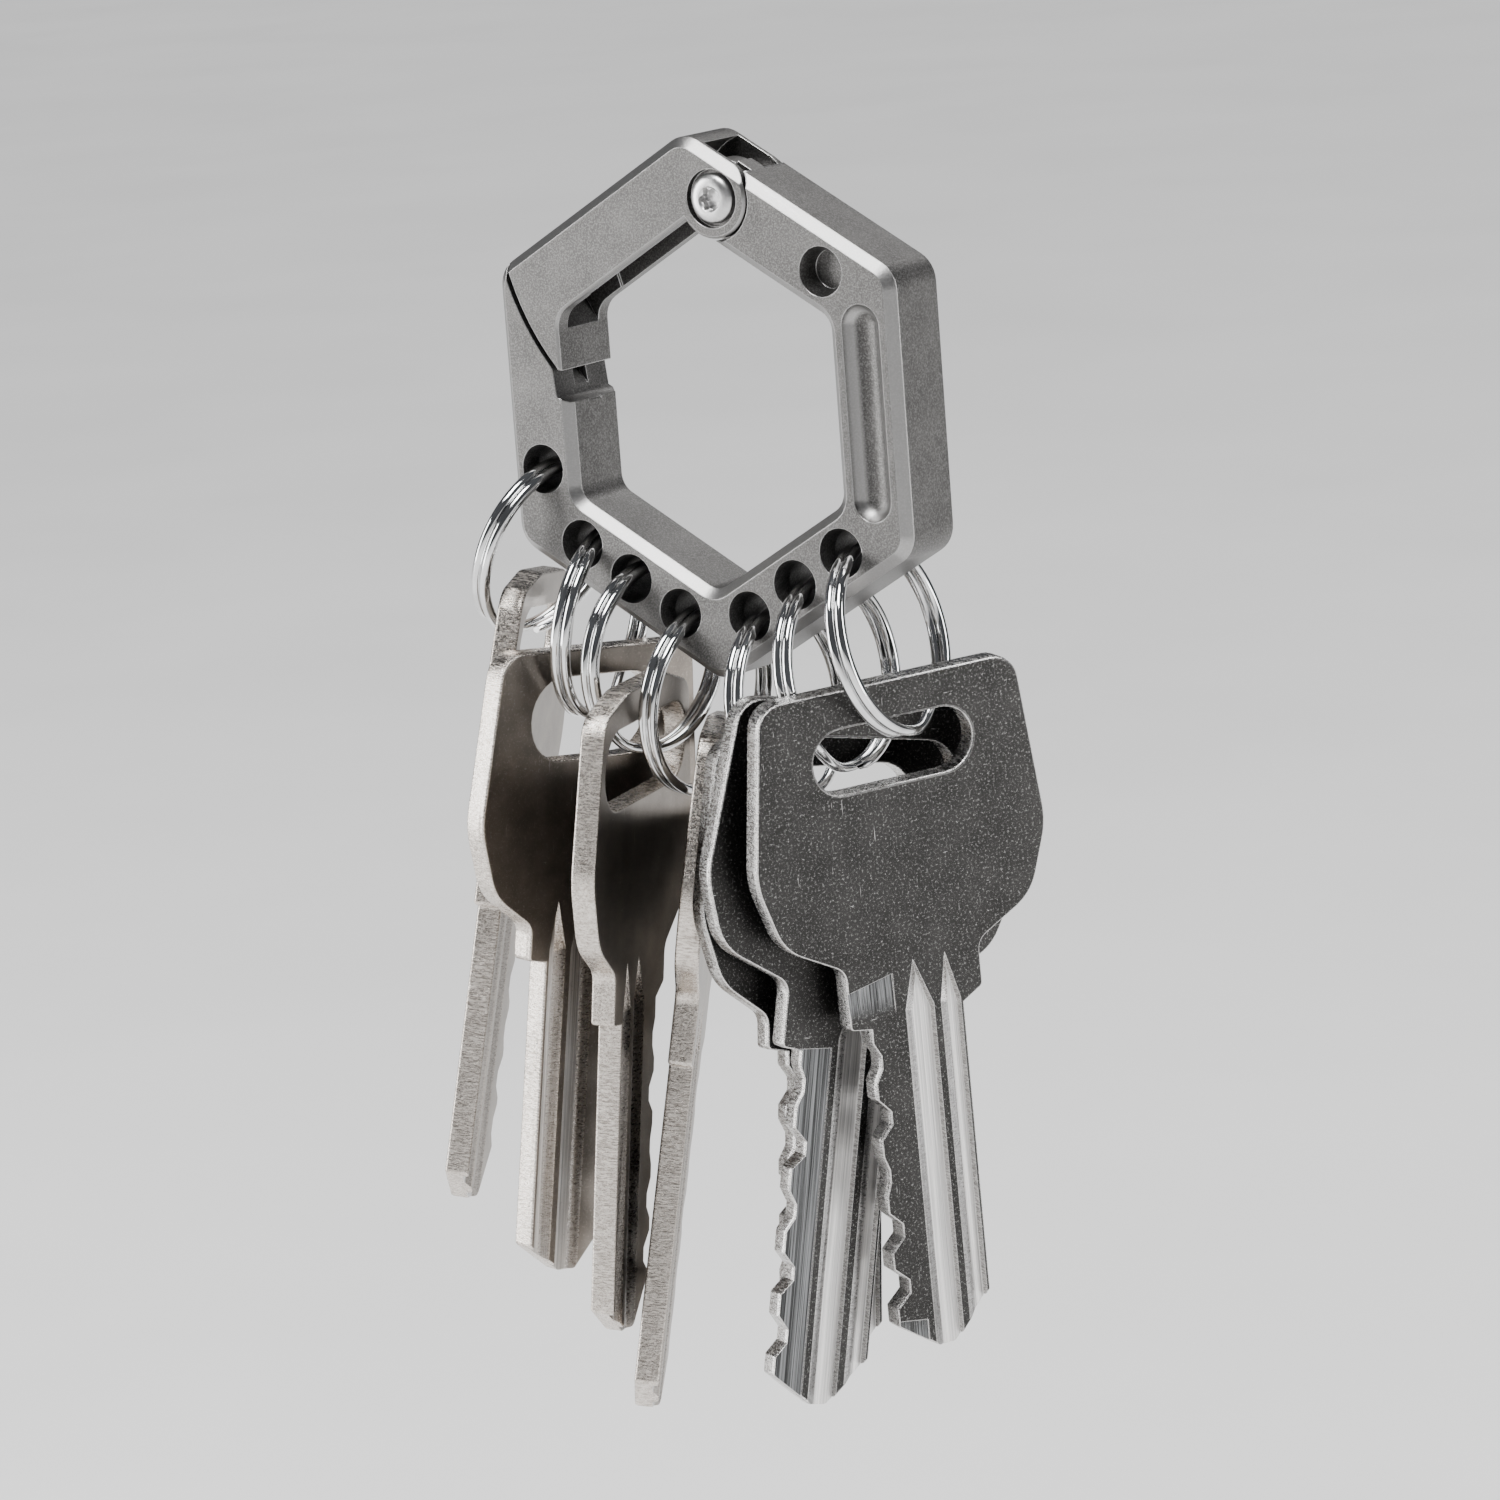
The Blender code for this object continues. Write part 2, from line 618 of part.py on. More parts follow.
def hang_point(matrix, hole, ring_layout):
    """Where the ring's middle line crosses the key's middle plane inside the slot, in mm."""
    axis, back, down = ring_axes(ring_layout[0], ring_layout[1])
    centre = ring_centre(hole, ring_layout)
    normal = matrix.to_3x3() @ Vector((0, 1, 0))
    middle = matrix @ Vector((0, KEY_THICK / 2 * MM, 0)) / MM
    across, along = normal.dot(back), normal.dot(down)
    first = math.atan2(across, along)
    spread = math.acos(normal.dot(middle - centre) / RING_MEAN_R / math.hypot(across, along))
    crossings = [centre + (back * math.sin(turn) + down * math.cos(turn)) * RING_MEAN_R
                 for turn in (first + spread, first - spread)]
    return min(crossings, key=lambda point: (point - middle).length)


def make_key(number, hole, shape, layout):
    """A stamped key: rolled outline, ring slot and a milled groove down each face of the blade."""
    outline = [Vector((p.x, -p.y)) for p in key_outline(shape)]
    key = prism(f"key_{number}", outline, 0, KEY_THICK, key_metal(), [0.16] * len(outline))
    slot = obround(Vector((0, 0)), shape.slot_half, shape.slot_r, 0.0, 6)
    side = -shape.bite_side
    start = shape.shoulder - 4.6
    cutters = [prism("slot", slot, -1, KEY_THICK + 1)]
    for near, far in ((-1.05, 1.45), (2.05, 3.8)):
        low, high = sorted((side * near, side * far))
        cutters.append(prism("front_groove", groove(shape, low, high, start), -1, GROOVE_DEPTH))
    low, high = sorted((side * -1.9, side * 0.6))
    back = groove(shape, low, high, start)
    cutters.append(prism("back_groove", back, KEY_THICK - GROOVE_DEPTH, KEY_THICK + 1))
    cut(key, *cutters)
    matrix = key_matrix(layout)
    key.data.transform(matrix)
    finish(key, hang_point(matrix, hole, RING_LAYOUT[number - 1]))


def main():
    for old in list(bpy.data.objects):
        bpy.data.objects.remove(old, do_unlink=True)
    make_frame()
    make_gate()
    make_pivot()
    finish(make_spring(), (PIVOT.x, 0, PIVOT.y))
    for index, hole in enumerate(RING_HOLES):
        make_ring(index + 1, hole, RING_LAYOUT[index])
    for index, shape in enumerate(KEY_SHAPES):
        make_key(index + 1, RING_HOLES[index], shape, KEY_LAYOUT[index])


main()
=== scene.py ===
"""Looks for a hexagonal key organiser.

A blasted titanium frame and gate, a steel pivot and spring, seven split rings and seven worn keys.
Lengths are in millimetres until a mesh is made, and in metres in materials, lights and the camera.
"""

import json
import math
from collections import namedtuple

import bmesh
import bpy
from mathutils import Matrix, Vector


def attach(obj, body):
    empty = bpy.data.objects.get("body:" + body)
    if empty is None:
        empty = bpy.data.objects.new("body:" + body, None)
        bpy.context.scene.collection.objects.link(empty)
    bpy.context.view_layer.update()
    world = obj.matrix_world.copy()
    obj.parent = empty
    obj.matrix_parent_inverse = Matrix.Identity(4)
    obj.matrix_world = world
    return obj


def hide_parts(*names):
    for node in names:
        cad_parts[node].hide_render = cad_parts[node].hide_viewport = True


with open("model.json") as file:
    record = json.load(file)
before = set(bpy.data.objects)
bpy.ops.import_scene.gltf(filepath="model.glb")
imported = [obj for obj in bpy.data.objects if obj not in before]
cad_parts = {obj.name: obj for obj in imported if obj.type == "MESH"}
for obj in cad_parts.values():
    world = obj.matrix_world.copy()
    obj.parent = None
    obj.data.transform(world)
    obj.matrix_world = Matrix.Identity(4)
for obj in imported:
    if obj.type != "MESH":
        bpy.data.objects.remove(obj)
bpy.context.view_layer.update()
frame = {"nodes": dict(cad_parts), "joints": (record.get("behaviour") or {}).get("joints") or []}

MM = 0.001
FLOOR_HEIGHT = -0.125
SHARP_DEGREES = 32  # creases sharper than this are shaded sharp
FACES_Y = 0.9995  # a face this square to Y counts as a flat side of the frame or gate

KEY_THICK = 1.95
HALF_BLADE = 4.15
HALF_NECK = 5.9
GROOVE_DEPTH = 0.5
FRONT_GROOVES = ((-1.05, 1.45), (2.05, 3.8))  # from the blade's middle, away from the bites
BACK_GROOVE = (-0.6, 1.9)  # from the blade's middle, towards the bites
HALF_FLAT = 0.5  # of a bite's bottom
HALF_MOUTH = 1.6  # of a bite's opening

RING_MEAN_R = 7.35
RING_WIDE = 1.7  # both turns together
RING_WIRE = 0.86  # one turn's radial thickness
WIRE_CURVE = 0.39  # corner radius of the wire's section
TURN_CLEARANCE = 0.012  # each turn's share of the gap between the two turns

# sockets of a colour Mix node
MIX_FACTOR, MIX_FIRST, MIX_SECOND, MIX_RESULT = 0, 6, 7, 2

# distance (m) from a key's middle plane to a milled floor: nothing counts beyond the first number,
# and everything does inside the second
GROOVE_FLOOR = (0.00062, 0.00055)
SHALLOW_FLOOR = (0.00096, 0.00088)


# ---- material helpers ----

class Nodes:
    """Builds one node material with short calls; place names a mesh attribute used as coordinates."""

    def __init__(self, name, metallic=1.0, place=None):
        self.material = bpy.data.materials.new(name)
        self.material.use_nodes = True
        self.tree = self.material.node_tree
        self.shader = self.tree.nodes["Principled BSDF"]
        self.shader.inputs["Metallic"].default_value = metallic
        self.coords = self.add("TexCoord")
        self.place = self.stored(place, "Vector") if place else self.coords.outputs["Object"]

    def add(self, kind, **values):
        node = self.tree.nodes.new("ShaderNode" + kind)
        for key, value in values.items():
            setattr(node, key, value)
        return node

    def link(self, source, target):
        if isinstance(source, (int, float, tuple)):
            target.default_value = source
        else:
            self.tree.links.new(source, target)

    def math(self, operation, first, second=0.0, clamp=False):
        node = self.add("Math", operation=operation, use_clamp=clamp)
        self.link(first, node.inputs[0])
        self.link(second, node.inputs[1])
        return node.outputs[0]

    def mapped(self, scale):
        """The coordinates stretched by a different factor along each axis."""
        node = self.add("Mapping")
        node.inputs["Scale"].default_value = scale
        self.link(self.place, node.inputs["Vector"])
        return node.outputs[0]

    def noise(self, scale, detail=3.0, rough=0.5, vector=None):
        node = self.add("TexNoise")
        node.inputs["Scale"].default_value = scale
        node.inputs["Detail"].default_value = detail
        node.inputs["Roughness"].default_value = rough
        self.link(vector or self.place, node.inputs["Vector"])
        return node.outputs["Fac"]

    def cells(self, scale):
        node = self.add("TexVoronoi")
        node.inputs["Scale"].default_value = scale
        self.link(self.place, node.inputs["Vector"])
        return node.outputs["Distance"]

    def ramp(self, value, low, high, start=0.0, end=1.0):
        """Maps value from low..high to start..end, held at both ends."""
        node = self.add("MapRange", clamp=True)
        node.inputs["From Min"].default_value = low
        node.inputs["From Max"].default_value = high
        node.inputs["To Min"].default_value = start
        node.inputs["To Max"].default_value = end
        self.link(value, node.inputs["Value"])
        return node.outputs["Result"]

    def mix(self, factor, first, second):
        """Mixes two colours."""
        node = self.add("Mix", data_type="RGBA")
        self.link(factor, node.inputs[MIX_FACTOR])
        self.link(first, node.inputs[MIX_FIRST])
        self.link(second, node.inputs[MIX_SECOND])
        return node.outputs[MIX_RESULT]

    def normal_part(self, axis):
        """How far the surface faces along one of the object's axes, from 0 to 1."""
        split = self.add("SeparateXYZ")
        self.link(self.coords.outputs["Normal"], split.inputs[0])
        return self.math("ABSOLUTE", split.outputs[axis])

    def place_part(self, axis):
        split = self.add("SeparateXYZ")
        self.link(self.place, split.inputs[0])
        return split.outputs[axis]

    def stored(self, name, output):
        """A value stored on the mesh by make_key: its own coordinates, or how far a face faces Y."""
        node = self.add("Attribute", attribute_name=name)
        return node.outputs[output]

    def edges(self, radius):
        """A rounded normal, and a mask that is 1 on edges."""
        bevel = self.add("Bevel", samples=6)
        bevel.inputs["Radius"].default_value = radius
        geometry = self.add("NewGeometry")
        dot = self.add("VectorMath", operation="DOT_PRODUCT")
        self.link(bevel.outputs[0], dot.inputs[0])
        self.link(geometry.outputs["Normal"], dot.inputs[1])
        return bevel.outputs[0], self.ramp(dot.outputs["Value"], 0.995, 0.90)

    def bump(self, height, distance, strength=1.0, normal=None):
        node = self.add("Bump")
        node.inputs["Strength"].default_value = strength
        node.inputs["Distance"].default_value = distance
        self.link(height, node.inputs["Height"])
        if normal is not None:
            self.link(normal, node.inputs["Normal"])
        return node.outputs[0]

    def finish(self, colour, roughness, normal=None):
        self.link(colour, self.shader.inputs["Base Color"])
        self.link(roughness, self.shader.inputs["Roughness"])
        if normal is not None:
            self.link(normal, self.shader.inputs["Normal"])
        return self.material


def grey(level, warm=0.0):
    """A grey of the given level, with more red and less blue by the share warm."""
    return (level * (1 + warm), level, level * (1 - warm), 1.0)


# ---- materials ----

def blasted_titanium():
    """Bead-blasted metal: fine dimples, soft blotches, brighter worn edges, and a painted highlight
    that makes the machined chamfers brighter.
    """
    n = Nodes("blasted_titanium")
    rounded, edge = n.edges(0.00013)
    grain = n.noise(7000.0, 4.0, 0.65)
    blotch = n.noise(260.0, 3.0, 0.6)
    facing = n.normal_part("Y")
    # the chamfers, found by how far they face Y, get a painted highlight; the edges are worn brighter
    chamfer = n.math("MULTIPLY", n.ramp(facing, 0.45, 0.6), n.ramp(facing, 0.9, 0.8))
    worn_edges_and_chamfer_highlight = n.math("MAXIMUM", edge, n.math("MULTIPLY", chamfer, 0.55), True)
    base = n.mix(n.ramp(blotch, 0.35, 0.7), grey(0.08, 0.03), grey(0.11, 0.03))
    speckled = n.mix(n.ramp(grain, 0.44, 0.66, 0.0, 0.75), base, grey(0.23, 0.02))
    colour = n.mix(worn_edges_and_chamfer_highlight, speckled, grey(0.48, 0.012))
    blasted = n.ramp(grain, 0.3, 0.7, 0.40, 0.50)
    roughness = n.math("SUBTRACT", blasted, n.math("MULTIPLY", worn_edges_and_chamfer_highlight, 0.14))
    return n.finish(colour, roughness, n.bump(grain, 0.000014, 0.7, rounded))


def satin_stainless():
    """Satin steel with soft patches of wear, a fine grain and brighter edges."""
    n = Nodes("satin_stainless")
    rounded, edge = n.edges(0.00006)
    fine = n.noise(9000.0, 3.0, 0.6)
    wear = n.noise(1400.0, 4.0, 0.6)
    colour = n.mix(n.ramp(wear, 0.4, 0.7), grey(0.52, 0.008), grey(0.68, 0.006))
    colour = n.mix(edge, colour, grey(0.8))
    roughness = n.ramp(wear, 0.3, 0.7, 0.27, 0.38)
    return n.finish(colour, roughness, n.bump(fine, 0.000006, 0.5, rounded))


def bright_ring_wire():
    """Polished plated wire with soft rubs, duller patches and small pits."""
    n = Nodes("bright_ring_wire")
    rubs = n.noise(900.0, 5.0, 0.65)
    patches = n.noise(420.0, 2.0, 0.5)
    pits = n.ramp(n.noise(5200.0, 3.0, 0.6), 0.66, 0.74)
    colour = n.mix(n.ramp(patches, 0.35, 0.7), grey(0.60), grey(0.82, -0.004))
    colour = n.mix(n.math("MULTIPLY", pits, 0.35), colour, grey(0.35, 0.02))
    roughness = n.math("ADD", n.ramp(rubs, 0.45, 0.75, 0.06, 0.15), n.math("MULTIPLY", pits, 0.12))
    return n.finish(colour, roughness, n.bump(pits, 0.000004, 0.4))


def key_metal(name, tone, warm, shine):
    """Worn nickel silver: speckled faces with painted glints, bright grooves, ribbed shallow milling
    and rough walls.

    The key's own X runs across it, Y through its thickness and Z along it. Tone is how light the
    faces are, warm how yellow, and shine their least roughness.
    """
    n = Nodes(name, place="key_place")
    rounded, edge = n.edges(0.00009)
    face = n.ramp(n.stored("key_facing", "Fac"), 0.8, 0.95)
    depth = n.math("ABSOLUTE", n.math("SUBTRACT", n.place_part("Y"), KEY_THICK * MM / 2))
    floor = n.math("MULTIPLY", face, n.ramp(depth, *GROOVE_FLOOR))
    shallow = n.math("MULTIPLY", face, n.ramp(depth, *SHALLOW_FLOOR))
    specks_and_painted_glints = n.noise(4600.0, 6.0, 0.85)
    clouds = n.noise(300.0, 4.0, 0.6)
    pits = n.cells(1900.0)
    scratch_a = n.noise(1.0, 2.0, 0.5, n.mapped((9000.0, 500.0, 420.0)))
    scratch_b = n.noise(1.0, 2.0, 0.5, n.mapped((900.0, 500.0, 7000.0)))
    streaks = n.noise(1.0, 5.0, 0.7, n.mapped((8500.0, 3000.0, 45.0)))
    sheared = n.noise(1.0, 4.0, 0.7, n.mapped((2500.0, 1500.0, 7500.0)))
    grains = n.noise(5200.0, 4.0, 0.7)
    rough_up = n.ramp(n.noise(90.0, 2.0, 0.5), 0.42, 0.58)
    smooth_up = n.math("SUBTRACT", 1.0, n.math("MULTIPLY", rough_up, 0.6))
    walls = n.math("ADD", n.math("MULTIPLY", sheared, smooth_up),
                   n.math("MULTIPLY", grains, n.math("MULTIPLY", rough_up, 0.6)))
    face_colour = n.mix(n.ramp(clouds, 0.35, 0.7), grey(tone, warm), grey(tone * 1.5, warm))
    # the light specks on the faces are painted glints; the same speck grain also sets roughness and
    # bump
    face_colour = n.mix(n.ramp(specks_and_painted_glints, 0.55, 0.68, 0.0, 0.85), face_colour, grey(0.55, warm * 0.6))
    marks = n.math("MAXIMUM", n.ramp(scratch_a, 0.71, 0.77), n.ramp(scratch_b, 0.72, 0.78))
    face_colour = n.mix(n.math("MULTIPLY", marks, 0.6), face_colour, grey(0.8, warm * 0.4))
    ribbed = n.mix(n.ramp(streaks, 0.42, 0.62), grey(0.035, 0.0), grey(0.24, -0.02))
    floor_colour = n.mix(n.ramp(streaks, 0.3, 0.65), grey(0.30, 0.01), grey(0.80, 0.02))
    wall_colour = n.mix(n.ramp(walls, 0.38, 0.6), grey(0.30, warm), grey(0.72, warm * 0.7))
    colour = n.mix(face, wall_colour, face_colour)
    colour = n.mix(shallow, colour, ribbed)
    colour = n.mix(floor, colour, floor_colour)
    colour = n.mix(n.math("MULTIPLY", edge, 0.7), colour, grey(0.82, warm * 0.6))
    face_rough = n.ramp(specks_and_painted_glints, 0.35, 0.75, shine, shine + 0.16)
    wall_rough = n.ramp(walls, 0.35, 0.65, 0.16, 0.36)
    bare = n.math("SUBTRACT", 1.0, face)
    roughness = n.math("ADD", n.math("MULTIPLY", face, face_rough),
                       n.math("MULTIPLY", bare, wall_rough))
    relief = n.math("ADD", n.math("MULTIPLY", specks_and_painted_glints, n.math("MULTIPLY", face, 0.4)),
                    n.math("MULTIPLY", walls, n.math("MULTIPLY", bare, 3.2)))
    relief = n.math("ADD", relief, n.math("MULTIPLY", shallow, streaks))
    relief = n.math("SUBTRACT", relief, n.math("MULTIPLY", n.ramp(pits, 0.16, 0.0), 0.4))
    relief = n.math("SUBTRACT", relief, n.math("MULTIPLY", marks, 0.3))
    return n.finish(colour, roughness, n.bump(relief, 0.00002, 0.9, rounded))


# ---- mesh helpers (shapes in millimetres, stored in metres) ----

def object_from(name, bm, look, sharp=SHARP_DEGREES):
    """Turns a bmesh into an object in the scene, smooth but for creases over sharp degrees."""
    bmesh.ops.recalc_face_normals(bm, faces=bm.faces)
    mesh = bpy.data.meshes.new(name)
    bm.to_mesh(mesh)
    bm.free()
    mesh.shade_smooth()
    mesh.set_sharp_from_angle(angle=math.radians(sharp))
    made = bpy.data.objects.new(name, mesh)
    bpy.context.scene.collection.objects.link(made)
    if look is not None:
        mesh.materials.append(look)
    return made


def skin(bm, loops):
    """Joins loops of equal length with quads, and caps both ends."""
    rows = [[bm.verts.new(Vector(p) * MM) for p in loop] for loop in loops]
    for low, high in zip(rows, rows[1:]):
        for index in range(len(low)):
            nxt = (index + 1) % len(low)
            bm.faces.new((low[index], low[nxt], high[nxt], high[index]))
    bm.faces.new(rows[0])
    bm.faces.new(rows[-1])


def combine(target, operation, others):
    """Bakes cuts or unions into the target's mesh and removes the tools."""
    for other in others:
        change = target.modifiers.new(operation.lower(), "BOOLEAN")
        change.operation = operation
        change.solver = "EXACT"
        change.object = other
    graph = bpy.context.evaluated_depsgraph_get()
    result = bpy.data.meshes.new_from_object(target.evaluated_get(graph))
    target.modifiers.clear()
    target.data = result
    for other in others:
        bpy.data.objects.remove(other, do_unlink=True)
    result.shade_smooth()
    result.set_sharp_from_angle(angle=math.radians(SHARP_DEGREES))


def flatten_shading(made):
    """Lets large flat faces keep flat shading beside their rolled edges."""
    change = made.modifiers.new("flat_shading", "WEIGHTED_NORMAL")
    change.weight = 100
    change.keep_sharp = True


def arc(centre, radius, start, end, steps):
    """Points on a circle from start to end, in degrees."""
    points = []
    for step in range(steps + 1):
        angle = math.radians(start + (end - start) * step / steps)
        points.append(centre + Vector((math.cos(angle), math.sin(angle))) * radius)
    return points


def rounded(corners, radii, steps=5):
    """A closed outline whose corners are replaced by arcs of the given radii."""
    points = []
    for index, corner in enumerate(corners):
        radius = radii[index]
        if radius <= 0:
            points.append(corner)
            continue
        before = (corners[index - 1] - corner).normalized()
        after = (corners[(index + 1) % len(corners)] - corner).normalized()
        half = before.angle(after) / 2
        centre = corner + (before + after).normalized() * (radius / math.sin(half))
        first = corner + before * (radius / math.tan(half)) - centre
        last = corner + after * (radius / math.tan(half)) - centre
        turn = first.angle_signed(last)
        points += [centre + Matrix.Rotation(-turn * step / steps, 2) @ first
                   for step in range(steps + 1)]
    return points


def inset(points, amount):
    """The outline moved inwards by one amount (outwards if it is negative)."""
    total = sum(p.x * q.y - q.x * p.y for p, q in zip(points, points[1:] + points[:1]))
    side = 1.0 if total > 0 else -1.0
    moved = []
    for index, point in enumerate(points):
        back = (point - points[index - 1]).normalized()
        ahead = (points[(index + 1) % len(points)] - point).normalized()
        normal = Vector((-back.y - ahead.y, back.x + ahead.x)).normalized() * side
        reach = amount / max(0.5, normal.dot(Vector((-back.y, back.x)) * side))
        moved.append(point + normal * reach)
    return moved


def plate(name, outline, profile, look=None):
    """An outline in XZ drawn along Y through a profile of (inset, y) steps."""
    bm = bmesh.new()
    loops = []
    for amount, y in profile:
        ring = inset(outline, amount) if amount else outline
        loops.append([(p.x, y, p.y) for p in ring])
    skin(bm, loops)
    return object_from(name, bm, look)


def turned(name, centre, profile, look=None, steps=64):
    """A round solid about a Y axis through centre (x, z); profile lists (radius, y) pairs."""
    bm = bmesh.new()
    last = 360 - 360 / steps
    skin(bm, [[(p.x, y, p.y) for p in arc(centre, radius, 0, last, steps - 1)]
              for radius, y in profile])
    return object_from(name, bm, look)


def tube(name, points, radius, look, sides=14):
    """A round wire along a list of points."""
    bm = bmesh.new()
    loops = []
    side = None
    for index, point in enumerate(points):
        following = points[min(index + 1, len(points) - 1)]
        ahead = (following - points[max(index - 1, 0)]).normalized()
        side = side or ahead.orthogonal()
        side = (side - ahead * side.dot(ahead)).normalized()
        up = ahead.cross(side)
        loops.append([point + (side * math.cos(a) + up * math.sin(a)) * radius
                      for a in (2 * math.pi * k / sides for k in range(sides))])
    skin(bm, loops)
    return object_from(name, bm, look)


def refined(source, node, body, look):
    """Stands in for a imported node: its shape, with flat faces merged and curves shaded smooth.

    The gate's large faces are split again, because as one polygon each they shade wrongly.
    """
    bm = bmesh.new()
    bm.from_mesh(source.data)
    bm.transform(source.matrix_world)
    bmesh.ops.remove_doubles(bm, verts=bm.verts, dist=0.002 * MM)
    bmesh.ops.dissolve_degenerate(bm, edges=bm.edges, dist=0.004 * MM)
    bmesh.ops.dissolve_limit(bm, angle_limit=math.radians(0.4), verts=bm.verts, edges=bm.edges)
    large = [face for face in bm.faces if node == "gate" and len(face.verts) > 4]
    bmesh.ops.triangulate(bm, faces=large, ngon_method="BEAUTY")
    made = object_from(f"{node}_looks", bm, look, 24)
    for face in made.data.polygons:
        face.use_smooth = abs(face.normal.y) < FACES_Y
    flatten_shading(made)
    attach(made, body)
    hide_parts(node)


# ---- keys ----

# Heights are measured down from the middle of the slot. Bites lists their depths, side is 1 when
# they are on the right seen from the front, and crown is how far the top edge rises.
KeyShape = namedtuple("KeyShape", "half_bow top slot_half slot_r shoulder tip bites side crown")
KEY_SHAPES = [KeyShape(*row) for row in (
    (12.1, -5.8, 9.3, 3.05, 21.0, 45.2, (0.4, 0.9, 0.6, 1.2, 0.8), 1, 1.5),
    (11.8, -5.5, 6.9, 3.30, 19.2, 45.0, (0.8, 0.4, 1.1, 0.6, 0.9), 1, 0.0),
    (11.5, -5.9, 9.3, 3.15, 20.5, 46.5, (0.5, 1.0, 0.4, 0.8, 1.2), 1, 1.5),
    (12.9, -5.6, 7.9, 2.70, 22.0, 49.8, (1.0, 0.5, 1.2, 0.7, 0.4), 1, 1.5),
    (11.6, -5.4, 7.1, 2.80, 19.0, 44.8, (0.8, 0.6, 1.1, 0.4, 1.0), -1, 0.0),
    (13.7, -5.6, 7.3, 2.70, 21.4, 49.6, (0.5, 1.1, 0.7, 1.0, 0.9), -1, 0.0),
    (12.7, -5.6, 6.9, 2.55, 21.2, 48.1, (0.6, 1.0, 0.4, 1.1, 1.2), -1, 0.0),
)]
# middle of each slot on the front face (mm), then turn about Z, tip and roll (degrees)
KEY_LAYOUT = [
    (-21.84, 3.47, -20.19, 113.6, 10.25, 7.8),
    (-13.47, -1.59, -24.82, 79.2, 4.6, 6.0),
    (-6.87, -4.40, -27.17, 105.95, 6.0, 1.1),
    (-6.28, 5.30, -31.44, 119.9, 9.9, 8.8),
    (6.50, 1.30, -31.30, 62.9, -3.1, 5.9),
    (11.40, 0.00, -28.60, 62.6, 0.4, 10.1),
    (15.24, -2.72, -26.07, 61.9, 3.0, -2.9),
]


def blade_bites(shoulder, tip, bites):
    """The corners of the bites down the right edge of a blade."""
    first = shoulder + 3.0
    pitch = (tip - 5.5 - first) / (len(bites) - 1)
    corners = []
    for index, depth in enumerate(bites):
        mouth, flat = HALF_MOUTH, HALF_FLAT
        for drop, along in ((0, -mouth), (depth, -flat), (depth, flat), (0, mouth)):
            corners.append((HALF_BLADE - drop, first + pitch * index + along))
    return corners


def key_outline(shape):
    """The key seen from the front: the bow's top, its right side, the blade, and back up the left."""
    bow, stop, tip, top = shape.half_bow, shape.shoulder, shape.tip, shape.top
    cuts = blade_bites(stop, tip, shape.bites)
    right = cuts if shape.side > 0 else []
    left = [(-x, y) for x, y in reversed(cuts)] if shape.side < 0 else []
    low = top + shape.crown
    peak = 5.0 if shape.crown else 0.0
    corners = [(-bow + 1.6, low), (-4.5, top), (4.5, top), (bow - 1.6, low)]
    radii = [2.2, peak, peak, 2.2]
    corners += [(bow, 8.2), (bow - 1.8, 13.7), (HALF_NECK, 16.4), (HALF_NECK, stop - 1.2),
                (HALF_BLADE, stop - 0.2)]
    radii += [6.5, 4.2, 1.4, 0.5, 0.0]
    corners += right + [(HALF_BLADE, tip - 3.6), (0.9, tip), (-0.6, tip), (-HALF_BLADE, tip - 2.4)]
    corners += left
    radii += [0.0] * (len(right) + 1) + [0.5, 0.5, 0.4] + [0.0] * len(left)
    corners += [(-HALF_BLADE, stop + 0.3), (-HALF_NECK, stop), (-HALF_NECK, 16.4),
                (-bow + 1.8, 13.7), (-bow, 8.2)]
    radii += [0.0, 0.4, 1.4, 4.2, 6.5]
    return rounded([Vector((x, -y)) for x, y in corners], radii, 7)


def groove(name, left, right, start, end, mouth, floor, slope):
    """A cutter for a groove with one long and one short sloping side, beginning in a long point."""
    step = 1 if mouth < floor else -1
    long_side, short_side = (left + slope, right - 0.1) if slope > 0 else (left + 0.1, right + slope)
    wide = [(left + (right - left) * 0.4, start), (left, start + 3.9), (left, end), (right, end),
            (right, start + 3.9)]
    thin = [(left + (right - left) * 0.55, start + 1.2), (long_side, start + 4.2),
            (long_side, end), (short_side, end), (short_side, start + 4.2)]
    bm = bmesh.new()
    skin(bm, [[(x, mouth - step, -y) for x, y in wide], [(x, mouth, -y) for x, y in wide],
              [(x, floor, -y) for x, y in thin]])
    return object_from(name, bm, None)


def shallow_mill(left, right, top, bottom, tilt, top_depth, bottom_depth):
    """A thin slice milled off the front face, which may fade out towards its lower end."""
    bm = bmesh.new()
    rows = []
    for high, low in ((-1.0, -1.0), (top_depth, bottom_depth)):
        rows.append([(left, high, -top - tilt / 2), (right, high, -top + tilt / 2),
                     (right, low, -bottom), (left, low, -bottom)])
    skin(bm, rows)
    return object_from("mill", bm, None)


